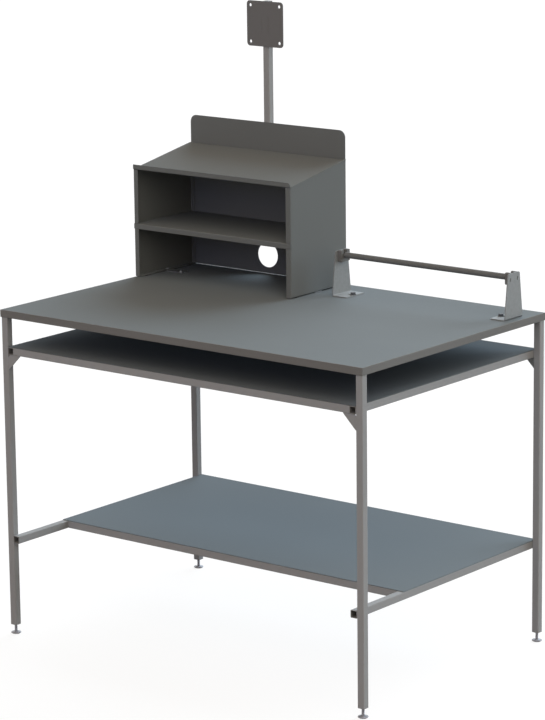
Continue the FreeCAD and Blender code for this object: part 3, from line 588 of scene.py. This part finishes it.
def makeClampBolt(look):
    low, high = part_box("screen_clamp_bolt")
    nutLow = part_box("screen_clamp_nut")[0]
    base = Vector(((low[0] + high[0]) / 2.0, 0.0, (low[2] + high[2]) / 2.0))
    tip, top = low[1] / mm, high[1] / mm
    seat, stud = top - look["head"], look["stud"]
    inward, up = look["point"]
    shank = [(stud - inward, tip)] + thread(stud, look["pitch"], tip + up, seat - look["undercut"])
    bolt = skin(base, "y", shank + hexHead(look["across"], seat, top))
    makePiece("clampBolt", [bolt], "screen_clamp_bolt", "screen_mount", finishes["zinc"])
    nutBase = base + Vector((0.0, nutLow[1], 0.0))
    nut = hexNut(nutBase, "y", look["across"], look["bore"], look["nut"])
    makePiece("clampNut", [nut], "screen_clamp_nut", "screen_mount", finishes["zinc"])


makeClampBolt(clampBolt)

# welded studs of the pole saddles and their nuts
poleStud = {"stud": 2.5, "pitch": 0.8, "plain": 0.5, "point": (0.7, 0.4),
            "across": 8.0, "nut": 4.0, "bore": 2.54}


def makePoleStuds(look):
    low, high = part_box("pole_studs")
    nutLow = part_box("pole_saddle_nuts")[0]
    start, tip = low[1] / mm, high[1] / mm
    stud, half = look["stud"], look["stud"] * mm
    inward, down = look["point"]
    shank = [(stud, start)] + thread(stud, look["pitch"], start + look["plain"], tip - down)
    shank += [(stud - inward, tip)]
    studs, nuts = [], []
    for x in (low[0] + half, high[0] - half):
        for z in (low[2] + half, high[2] - half):
            studs.append(skin((x, 0.0, z), "y", shank))
            nuts.append(hexNut((x, nutLow[1], z), "y", look["across"], look["bore"], look["nut"]))
    makePiece("poleStuds", studs, "pole_studs", "desk", finishes["zinc"])
    makePiece("poleNuts", nuts, "pole_saddle_nuts", "desk", finishes["zinc"])


makePoleStuds(poleStud)

# hold-down screws of the unit: low round heads with a hexagon socket; the outer ones stand on the side
# panels' flanges, the inner ones a sheet lower; taper and dome are in from shank or head, and up
holdScrew = {"insets": (12.0, 62.0), "sheet": 1.5, "head": 4.8, "tall": 2.6, "shank": 2.5,
             "length": 15.5, "tip": 0.3, "taper": ((0.2, 3.0), (0.0, 4.0)),
             "dome": ((0.0, 0.0), (0.0, 0.7), (0.35, 1.5), (1.1, 2.15)), "crown": (2.1, 0.05),
             "rim": 2.1, "socket": 3.0, "deep": 1.5, "drill": (0.2, 0.4)}


def makeHoldScrews(look):
    low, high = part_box("unit_fixing_screws")
    y = (low[1] + high[1]) / 2.0
    onFlange = high[2] / mm - look["tall"]
    seats = (onFlange, onFlange - look["sheet"])
    head, shank = look["head"], look["shank"]
    key = hexReach(look["socket"])
    screws = []
    for inset, seat in zip(look["insets"], seats):
        shift = (inset - look["insets"][0] + head) * mm
        tip, top = seat - look["length"], seat + look["tall"]
        floor = top - look["deep"]
        profile = [(look["tip"], tip)] + [(shank - inward, tip + up) for inward, up in look["taper"]]
        profile += [(shank, seat)] + [(head - inward, seat + up) for inward, up in look["dome"]]
        profile += [(head - look["crown"][0], top - look["crown"][1]), (look["rim"], top), (key, top),
                    (key, floor), (look["drill"][0], floor - look["drill"][1])]
        for x in (low[0] + shift, high[0] - shift):
            screws.append(skin((x, y, 0.0), "z", profile))
    makePiece("holdScrews", screws, "unit_fixing_screws", "desk", finishes["zinc"])


makeHoldScrews(holdScrew)
print("bolts, nuts, studs and screws built")

# end caps of the pole: a low crowned lid on a square plug
poleCap = {"side": 20.0, "plug": 15.8, "lid": 2.0, "inside": 15.0, "squareness": 12.0,
           "crown": ((0.0, 1.1), (0.5, 0.6), (1.8, 0.3), (8.0, 0.05), (14.0, 0.0))}


# reach of a square with slightly rounded corners
def squareReach(side, power):
    def reach(turn):
        spread = abs(math.cos(turn)) ** power + abs(math.sin(turn)) ** power
        return side / 2.0 / spread ** (1.0 / power)

    return reach


def makePoleCaps(look):
    base, low, high = midBox("pole_caps")
    side, lid, power = look["side"], look["lid"], look["squareness"]
    plug = squareReach(look["plug"], power)
    upper = high[2] / mm - lid
    lower = low[2] / mm + lid
    crown = [(plug, -look["inside"]), (plug, 0.0), (squareReach(side, power), 0.0)]
    crown += [(squareReach(side - narrower, power), lid - down) for narrower, down in look["crown"]]
    top = skin(base, "z", [(reach, upper + rise) for reach, rise in crown], steps=48)
    bottom = skin(base, "z", [(reach, lower - rise) for reach, rise in reversed(crown)], steps=48)
    makePiece("poleCaps", [top, bottom], "pole_caps", "desk", finishes["dark_plastic"])


makePoleCaps(poleCap)
print("pole caps built")


# camera at the photograph's angle; the target is measured from the floor under the worktop's middle
photoCamera = {"azimuth": 38.52488, "elevation": 12.72128, "roll": -0.66721, "distance": 9.232379,
               "target": (-0.460408, 0.58269, 0.5975), "lens": 160.18487, "sensor": 36.0, "sight": 200.0}


def placeCamera(look):
    azimuth, elevation, roll = (math.radians(look[key]) for key in ("azimuth", "elevation", "roll"))
    ahead = Vector((-math.sin(azimuth) * math.cos(elevation), math.cos(azimuth) * math.cos(elevation),
                    -math.sin(elevation)))
    level = Vector((math.cos(azimuth), math.sin(azimuth), 0.0))
    upright = level.cross(ahead)
    across = level * math.cos(roll) + upright * math.sin(roll)
    up = upright * math.cos(roll) - level * math.sin(roll)
    turn = Matrix((across, up, -ahead)).transposed().to_4x4()
    data = bpy.data.cameras.new("photoCamera")
    data.sensor_width = look["sensor"]
    data.lens = look["lens"]
    data.clip_end = look["sight"]
    camera = bpy.data.objects.new("photoCamera", data)
    bpy.context.scene.collection.objects.link(camera)
    middle = midBox("desktop_edge_bands")[0]
    eye = middle + Vector(look["target"]) - ahead * look["distance"]
    camera.matrix_world = Matrix.Translation(eye) @ turn
    bpy.context.scene.camera = camera


placeCamera(photoCamera)

# soft studio light: a broad cool wall of light low behind the desk, a warm window high at the front
# right, a small cool light low in front and a dim warm room round it; each fades between two angles
studio = {
    "room": {"colour": (1.0, 0.8, 0.601), "level": 0.524},
    "front": {"towards": (0.074, -0.962, 0.264), "full": 4.4, "none": 12.4,
              "colour": (0.499, 0.559, 1.0), "level": 3.64},
    "side": {"towards": (0.453, -0.558, 0.695), "full": 26.4, "none": 32.5,
             "colour": (1.0, 0.941, 0.854), "level": 1.963},
    "wall": {"towards": (0.0, 0.993, 0.116), "full": 18.0, "none": 52.9,
             "colour": (0.741, 0.876, 1.0), "level": 10.47},
    "white": {"colour": (1.0, 1.0, 1.0), "level": 1.0},
    "floorBounce": (0.25, 0.25, 0.25),
    "floorWhite": 0.86,
    "floorSize": 120.0,
    "floorDrop": 0.2 * mm,
}


# 1 for what the lens sees, directly, mirrored or through glass
def seenByLens(f):
    rays = [f.node("ShaderNodeLightPath", {}, {}, ray)
            for ray in ("Is Camera Ray", "Is Glossy Ray", "Is Transmission Ray")]
    return f.clamped(rays[0] + rays[1] + rays[2])


def glow(f, look):
    return f.node("ShaderNodeBackground", {}, {"Color": rgba(look["colour"]), "Strength": look["level"]})


# 1 towards the middle of a lit part of the room, 0 outside it
def litPart(f, look):
    place = f.node("ShaderNodeTexCoord", {}, {}, "Generated")
    towards = tuple(Vector(look["towards"]).normalized())
    limits = {"Value": f.dot(place, towards), "From Min": math.cos(math.radians(look["none"])),
              "From Max": math.cos(math.radians(look["full"]))}
    return f.node("ShaderNodeMapRange", {"interpolation_type": "SMOOTHSTEP"}, limits)


def placeRoom(look):
    world = bpy.data.worlds.new("room")
    world.use_nodes = True
    bpy.context.scene.world = world
    f = Finish(world.node_tree)
    light = glow(f, look["room"])
    for part in (look["front"], look["side"], look["wall"]):
        light = f.node("ShaderNodeMixShader", {}, {0: litPart(f, part), 1: light, 2: glow(f, part)})
    white = glow(f, look["white"])
    seen = f.node("ShaderNodeMixShader", {}, {0: seenByLens(f), 1: light, 2: white})
    f.node("ShaderNodeOutputWorld", {}, {"Surface": seen})


# pale floor: white to the lens, with the desk's shadow kept in it
def placeFloor(look):
    half = look["floorSize"] / 2.0
    mesh = bpy.data.meshes.new("floor")
    corners = [(-half, -half, 0.0), (half, -half, 0.0), (half, half, 0.0), (-half, half, 0.0)]
    mesh.from_pydata(corners, [], [(0, 1, 2, 3)])
    floor = bpy.data.objects.new("floor", mesh)
    bpy.context.scene.collection.objects.link(floor)
    floor.location.z = -look["floorDrop"]
    material, f = newFinish("floorPaper")
    seen, blank = seenByLens(f), rgba(look["white"]["colour"])
    colour = f.mixed(seen, rgba(look["floorBounce"]), blank)
    paper = f.node("ShaderNodeBsdfDiffuse", {}, {"Color": colour})
    white = f.node("ShaderNodeEmission", {}, {"Color": blank, "Strength": look["white"]["level"]})
    shader = f.node("ShaderNodeMixShader", {}, {0: seen * look["floorWhite"], 1: paper, 2: white})
    f.node("ShaderNodeOutputMaterial", {}, {"Surface": shader})
    mesh.materials.append(material)


placeRoom(studio)
placeFloor(studio)
bpy.context.scene.view_settings.view_transform = "Standard"
print("camera, room and floor in place")
